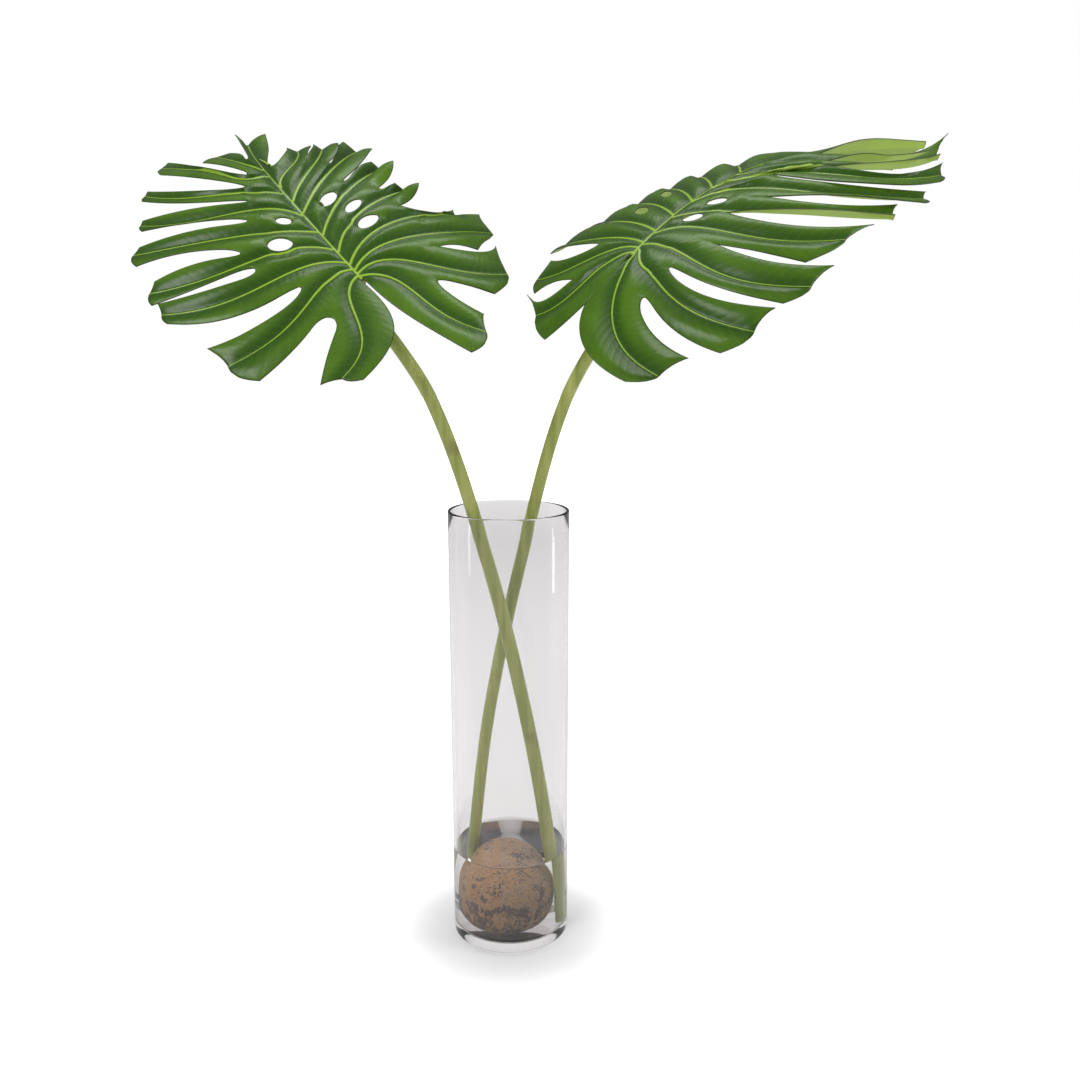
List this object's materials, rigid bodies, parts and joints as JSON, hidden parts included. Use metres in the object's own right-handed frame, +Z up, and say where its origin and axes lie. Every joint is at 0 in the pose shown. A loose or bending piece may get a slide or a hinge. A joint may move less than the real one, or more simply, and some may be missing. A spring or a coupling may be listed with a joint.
{
  "type": "monstera leaves in vase",
  "caption": "Cut monstera leaves with deeply lobed, pierced blades on long stems, standing in a clear glass cylinder vase with water and a stone.",
  "frame": {"origin": "centre of the vase's flat underside, on the vase's axis", "axes": "+Z up along the vase's axis, +Y away from the viewer, +X to the viewer's right"},
  "size_m": [0.85, 0.4007, 0.8344],
  "materials": {
    "blade": "glossy green leaf, paler veins",
    "stem": "smooth sage-green stem",
    "glass": "clear polished glass",
    "water": "clear water",
    "stone": "water-worn, mottled ochre and grey"
  },
  "bodies": {
    "root": {"left_leaf_blade": "blade", "right_leaf_blade": "blade", "left_leaf_stem": "stem", "right_leaf_stem": "stem", "vase": "glass", "water": "water", "stone": "stone"}
  },
  "joints": []
}
